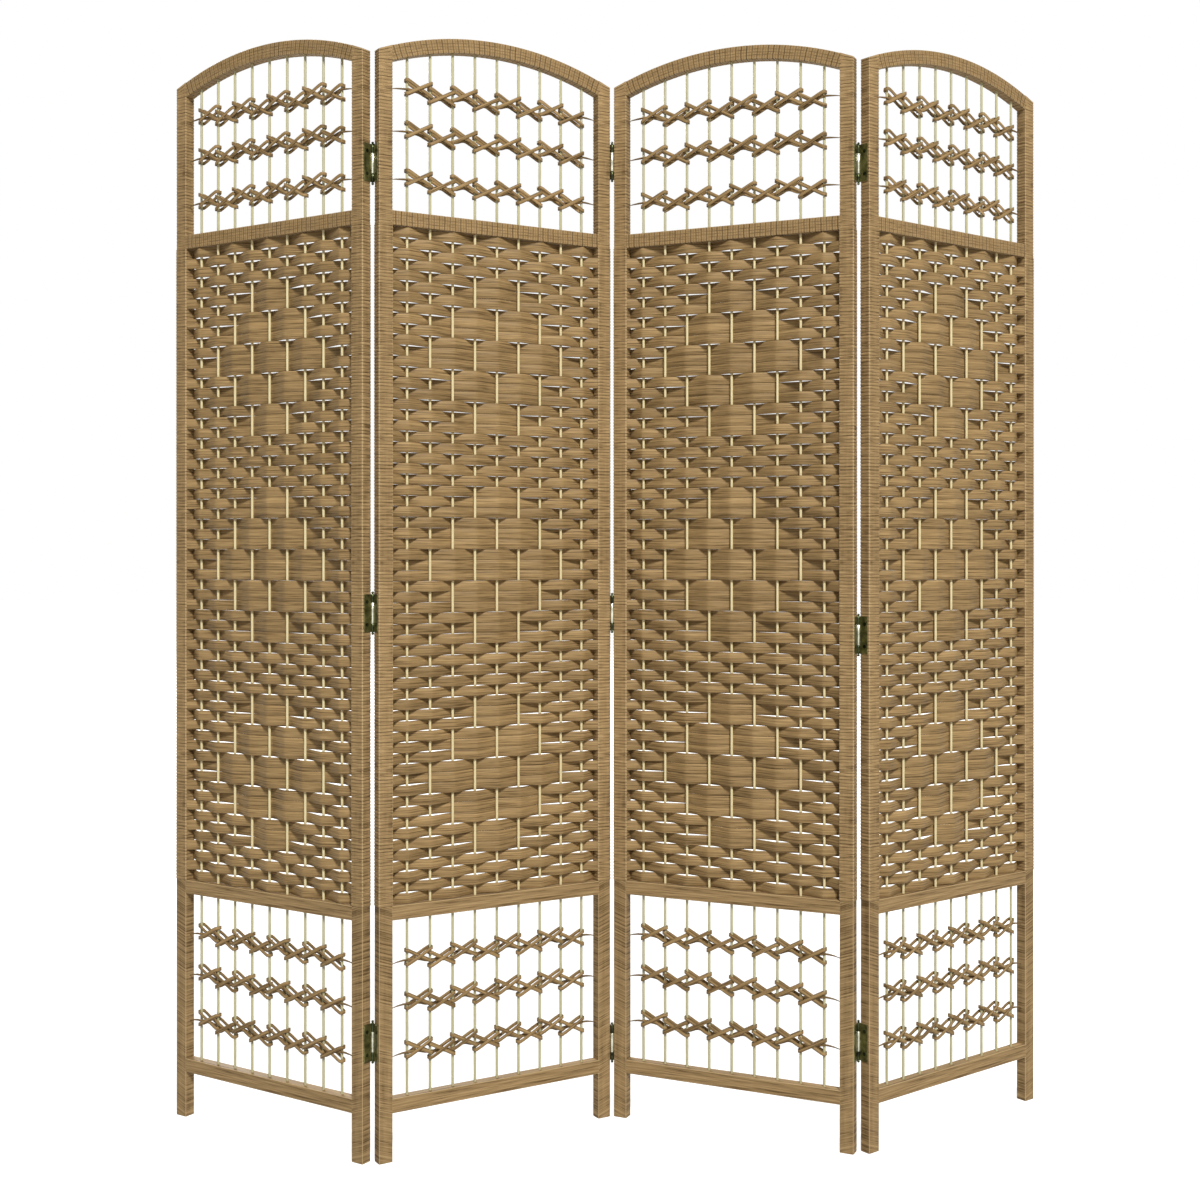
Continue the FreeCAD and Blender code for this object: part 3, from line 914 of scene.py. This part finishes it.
def runner_line(panel, row_z):
    """A row's runner, in and out between the rods, low at the inner rods and high in every other cell."""
    places = panel.rods()
    half = panel.depth / 2
    line = []
    for rod, s in enumerate(places):
        side = 1 if rod % 2 else -1
        drop = LASHING_STAGGER / 2 if rod in (0, ROD_COUNT - 1) else RUNNER_DROP
        line.append((s, half + side * RUNNER_SWING, row_z - drop))
        if rod % 2 == 0 and rod < ROD_COUNT - 1:
            line.append(((s + places[rod + 1]) / 2, half, row_z - RUNNER_CREST_DROP))
    return line


def tail_line(panel, start, stile_s, drop):
    """A tail from a runner's end to the middle of a stile's side, drooping on its way."""
    line = []
    for share in TAIL_SHARES:
        s = start[0] + share * (stile_s - start[0])
        depth = start[1] + share * (panel.depth / 2 - start[1])
        line.append((s, depth, start[2] - drop * share ** 2))
    return line


def lashings(panel):
    """Rows of crossed lashings, each with a runner through its loops and a thin tail at both ends."""
    places = panel.rods()
    loops = []
    runners = []
    tails = []
    for row_z in UPPER_LASHING_ROWS + LOWER_LASHING_ROWS:
        for cell, (left, right) in enumerate(zip(places, places[1:])):
            z = row_z - (LASHING_STAGGER if cell % 2 else 0)
            loops.append(lashing_loop(panel, left, right, z, -LASHING_HALF_RISE, 0))
            loops.append(lashing_loop(panel, left, right, z, LASHING_HALF_RISE, LASHING_BOW))
        runner = runner_line(panel, row_z)
        runners.append(runner)
        drop = UPPER_TAIL_DROP if row_z > panel.upper_rail[1] else LOWER_TAIL_DROP
        tails.append(tail_line(panel, runner[0], panel.stile_width, drop))
        tails.append(tail_line(panel, runner[-1], panel.width - panel.stile_width, drop))
    mesh = grown(
        path_mesh(loops, closed=True),
        FLAT_STRIP,
        width=LASHING_WIDTH,
        thickness=LASHING_THICKNESS,
        steps=LASHING_STEPS,
        seed=LASHING_SEED,
        material=CANE_LASHING,
    )
    stands_for = [f"{panel.name}_{opening}_lashings" for opening in ("upper", "lower")]
    piece(f"{panel.name}_crossed_lashings", mesh, panel, "lashings", *stands_for)
    mesh = grown(
        path_mesh(runners),
        FLAT_STRIP,
        width=RUNNER_WIDTH,
        thickness=LASHING_THICKNESS,
        steps=RUNNER_STEPS,
        seed=RUNNER_SEED,
        material=CANE_RUNNER,
    )
    piece(f"{panel.name}_lashing_runners", mesh, panel, "lashings")
    path = path_mesh(tails, thick=TAIL_RADII * len(tails))
    mesh = grown(path, ROUND_STICK, sides=TAIL_SIDES, seed=TAIL_SEED, material=CANE_RUNNER)
    piece(f"{panel.name}_lashing_tails", mesh, panel, "lashings")


def add_box(shape, corner, opposite):
    """A box in a mesh being made, between two opposite corners."""
    spans = [abs(b - a) for a, b in zip(corner, opposite)]
    centre = [(a + b) / 2 for a, b in zip(corner, opposite)]
    matrix = Matrix.Translation(centre) @ Matrix.Diagonal((*spans, 1))
    bmesh.ops.create_cube(shape, size=1, matrix=matrix)


def add_turning(shape, x, y, outline):
    """An upright turned shape in a mesh being made, from its outline of radius and height, low to high."""
    rings = []
    for radius, z in outline:
        ring = []
        for side in range(TURNED_SIDES):
            angle = 2 * math.pi * side / TURNED_SIDES
            ring.append(shape.verts.new((x + radius * math.cos(angle), y + radius * math.sin(angle), z)))
        rings.append(ring)
    for low, high in zip(rings, rings[1:]):
        for side in range(TURNED_SIDES):
            after = (side + 1) % TURNED_SIDES
            shape.faces.new((low[side], low[after], high[after], high[side]))
    shape.faces.new(list(reversed(rings[0])))
    shape.faces.new(rings[-1])


def hinge_middles(joint):
    """Heights of a joint's hinges, from its pins."""
    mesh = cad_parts[f"{joint}_joint_pins"].data
    ends = sorted({round(vertex.co.z, 4) for vertex in mesh.vertices})
    return [(low + high) / 2 for low, high in zip(ends[::2], ends[1::2])]


def knuckle_spans(low, high, knuckles):
    """Bottom and top of each knuckle of a leaf: two at its ends, or one between those."""
    if knuckles == 2:
        return ((low, low + END_KNUCKLE), (high - END_KNUCKLE, high))
    inset = END_KNUCKLE + KNUCKLE_GAP
    return ((low + inset, high - inset),)


def knuckle_outline(bottom, top):
    """A knuckle's radius and height, its ends eased."""
    return (
        (KNUCKLE_RADIUS - KNUCKLE_EASE, bottom),
        (KNUCKLE_RADIUS, bottom + KNUCKLE_EASE),
        (KNUCKLE_RADIUS, top - KNUCKLE_EASE),
        (KNUCKLE_RADIUS - KNUCKLE_EASE, top),
    )


def tip_outline(end, way):
    """Radius and height of the ball on a pin's end, low to high, for an end that points up or down."""
    outline = [(PIN_RADIUS, end)]
    for angle in TIP_ANGLES:
        turn = math.radians(angle)
        outline.append((TIP_RADIUS * math.cos(turn), end + way * TIP_RADIUS * (1 + math.sin(turn))))
    return outline[::way]


def leaf_mesh(plates, rolls, roll_finish):
    """One mesh of a joint's eased plates and its smooth knuckles and tips."""
    bmesh.ops.bevel(
        plates, geom=plates.edges[:], offset=LEAF_EASE, segments=2, affect="EDGES", profile=0.5
    )
    rolls_mesh = bpy.data.meshes.new("rolls")
    rolls.to_mesh(rolls_mesh)
    for polygon in rolls_mesh.polygons:
        polygon.use_smooth = True
    plates.from_mesh(rolls_mesh)
    bmesh.ops.recalc_face_normals(plates, faces=plates.faces[:])
    mesh = bpy.data.meshes.new("leaves")
    plates.to_mesh(mesh)
    mesh.materials.append(OLD_BRASS)
    mesh.materials.append(roll_finish)
    for polygon in mesh.polygons:
        polygon.material_index = 1 if polygon.use_smooth else 0
    return mesh


def hinge_leaves(joint, panel, edge, face, knuckles):
    """Leaves of a joint on one panel's edge, with their knuckles, pins and screws."""
    outward = 1 if edge == "right" else -1
    edge_s = panel.width if edge == "right" else 0
    outer_s = edge_s + outward * LEAF_THICKNESS
    pin_s = outer_s + outward * LEAF_GAP / 2
    off_face = 1 if face == "back" else -1
    face_d = panel.depth if face == "back" else 0
    far_d = face_d - off_face * (panel.depth - LEAF_INSET)
    pin_d = face_d + off_face * PIN_OFFSET
    plates = bmesh.new()
    rolls = bmesh.new()
    screws = []
    for z in hinge_middles(joint):
        low, high = z - LEAF_HEIGHT / 2, z + LEAF_HEIGHT / 2
        add_box(plates, (edge_s, far_d, low), (outer_s, face_d, high))
        for bottom, top in knuckle_spans(low, high, knuckles):
            add_box(plates, (edge_s, face_d, bottom), (outer_s, pin_d, top))
            add_turning(rolls, pin_s, pin_d, knuckle_outline(bottom, top))
        if knuckles == 2:
            add_turning(rolls, pin_s, pin_d, tip_outline(low, -1))
            add_turning(rolls, pin_s, pin_d, tip_outline(high, 1))
        screws += [[(outer_s, panel.depth / 2, z + share * LEAF_HEIGHT)] for share in SCREW_SHARES]
    kind = "two" if knuckles == 2 else "one"
    nodes = [f"{joint}_joint_{kind}_knuckle_leaves"]
    if knuckles == 2:
        nodes.append(f"{joint}_joint_pins")
    # The single knuckle takes the brass with the painted reflection
    mesh = leaf_mesh(plates, rolls, DARK_BRASS if knuckles == 2 else BRASS_PAINTED_REFLECTION)
    piece(f"{joint}_joint_{kind}_knuckle_hinge_leaves", mesh, panel, "hinge_metal", *nodes)
    heads = grown(
        path_mesh(screws),
        SLOTTED_SCREW,
        radius=SCREW_RADIUS,
        height=SCREW_HEIGHT,
        slot=SCREW_SLOT,
        facing=(0, outward * math.pi / 2, 0),
        seed=SCREW_SEED,
        material=DARK_BRASS,
    )
    piece(f"{joint}_joint_{kind}_knuckle_screws", heads, panel, "hinge_metal")


def seen_straight(nodes):
    """One for what the camera sees straight, in a shiny face or through a clear one."""
    seen = nodes.add("ShaderNodeLightPath").outputs
    mirrored = nodes.math("MAXIMUM", seen["Is Glossy Ray"], seen["Is Transmission Ray"])
    return nodes.math("MAXIMUM", seen["Is Camera Ray"], mirrored)


def stage_floor():
    """A pale floor that keeps the screen's shadow, under an even white surround."""
    material, nodes, shader = new_finish("white_floor")
    shader.inputs["Base Color"].default_value = FLOOR_GREY
    shader.inputs["Roughness"].default_value = 0.9
    shader.inputs["Emission Color"].default_value = WHITE
    place = nodes.add("ShaderNodeTexCoord").outputs["Object"]
    off = nodes.add("ShaderNodeVectorMath", {0: place}, operation="LENGTH").outputs["Value"]
    glow = nodes.add(
        "ShaderNodeMapRange", {"Value": off, **FLOOR_GLOW}, interpolation_type="SMOOTHSTEP"
    ).outputs[0]
    nodes.link(nodes.math("MULTIPLY", seen_straight(nodes), glow), shader, "Emission Strength")
    shape = bmesh.new()
    bmesh.ops.create_circle(shape, cap_ends=True, radius=FLOOR_RADIUS, segments=64)
    mesh = bpy.data.meshes.new("floor")
    shape.to_mesh(mesh)
    mesh.materials.append(material)
    floor = bpy.data.objects.new("floor", mesh)
    scene.collection.objects.link(floor)


def surround():
    """Even light from all round, pure white where the camera sees it."""
    world = bpy.data.worlds.new("surround")
    scene.world = world
    world.use_nodes = True
    nodes = Nodes(world.node_tree)
    light = world.node_tree.nodes["Background"]
    light.inputs["Color"].default_value = WHITE
    strength = nodes.math("MULTIPLY_ADD", seen_straight(nodes), 1 - SURROUND_LIGHT, SURROUND_LIGHT)
    nodes.link(strength, light, "Strength")


def lamp(name, place, size, power):
    """A soft square lamp turned towards the middle of the screen."""
    data = bpy.data.lights.new(name, "AREA")
    data.size = size
    data.energy = power
    made = bpy.data.objects.new(name, data)
    made.location = place
    made.rotation_euler = (Vector(LAMP_TARGET) - Vector(place)).to_track_quat("-Z", "Y").to_euler()
    scene.collection.objects.link(made)


def camera():
    """The photograph's view: level, straight at the screen, a little above its middle."""
    data = bpy.data.cameras.new("camera")
    data.sensor_width = SENSOR_WIDTH
    data.lens = LENS
    data.shift_x, data.shift_y = CAMERA_SHIFT
    made = bpy.data.objects.new("camera", data)
    made.location = CAMERA_PLACE
    made.rotation_euler = (math.pi / 2, 0, 0)
    scene.collection.objects.link(made)
    scene.camera = made


FLAT_STRIP = flat_strip_tree()
ROUND_STICK = round_stick_tree()
WOUND_BAR = wound_bar_tree()
SLOTTED_SCREW = slotted_screw_tree()

panels = {name: Panel(name) for name in PANELS}
CANE_STRIP = cane_strip_finish("cane_strip", panels["panel_1"].row_pitch, STRIP_SHADE_RIM)
CANE_LASHING = cane_strip_finish("cane_lashing", LASHING_WIDTH, LASHING_SHADE_RIM)
CANE_RUNNER = cane_strip_finish("cane_runner", RUNNER_WIDTH, RUNNER_SHADE_RIM)
WRAPPED_STILE = wood_finish(
    "wrapped_stile", (380.0, 25.0), seams={"reach": 0.12, "between": 0.0, "faintest": 0.35}
)
WRAPPED_RAIL = wood_finish(
    "wrapped_rail",
    (50.0, 420.0),
    stain=1.05,
    contrast=0.5,
    seams={"reach": 0.17, "between": 0.3, "faintest": 0.6},
    creased=True,
)
RAIL_WOOD = wood_finish("rail_wood", (14.0, 480.0), stain=0.93)
LEG_WOOD = {
    side: wood_finish(f"{side}_leg_wood", (430.0, 16.0), stain=0.87, contrast=1.3, slope=slope)
    for side, slope in (("left", 0.35), ("right", -0.35))
}
PALE_ROD = rod_finish(panels["panel_1"])
OLD_BRASS = hinge_finish(
    "old_brass", dark=(0.08, 0.078, 0.028), light=(0.25, 0.235, 0.095), roughness=0.35
)
DARK_BRASS = hinge_finish(
    "dark_brass", dark=(0.012, 0.014, 0.006), light=(0.06, 0.07, 0.03), roughness=0.28
)
# Painted reflection: the single knuckle gets far paler brass than the plates and end knuckles of the same
# hinge, so the surround's white shows as a bright line on it; the shine itself is rendered
BRASS_PAINTED_REFLECTION = hinge_finish(
    "brass_painted_reflection", dark=(0.45, 0.45, 0.35), light=(0.68, 0.67, 0.54), roughness=0.28
)

for panel in panels.values():
    stiles(panel)
    rails(panel)
    rods(panel)
    strips(panel)
    lashings(panel)
for joint, (left, right, face, two_knuckle_panel) in JOINTS.items():
    for name, edge in ((left, "right"), (right, "left")):
        hinge_leaves(joint, panels[name], edge, face, 2 if name == two_knuckle_panel else 1)

camera()
stage_floor()
surround()
for name, (place, size, power) in LAMPS.items():
    lamp(name, place, size, power)

scene.view_settings.view_transform = "Standard"
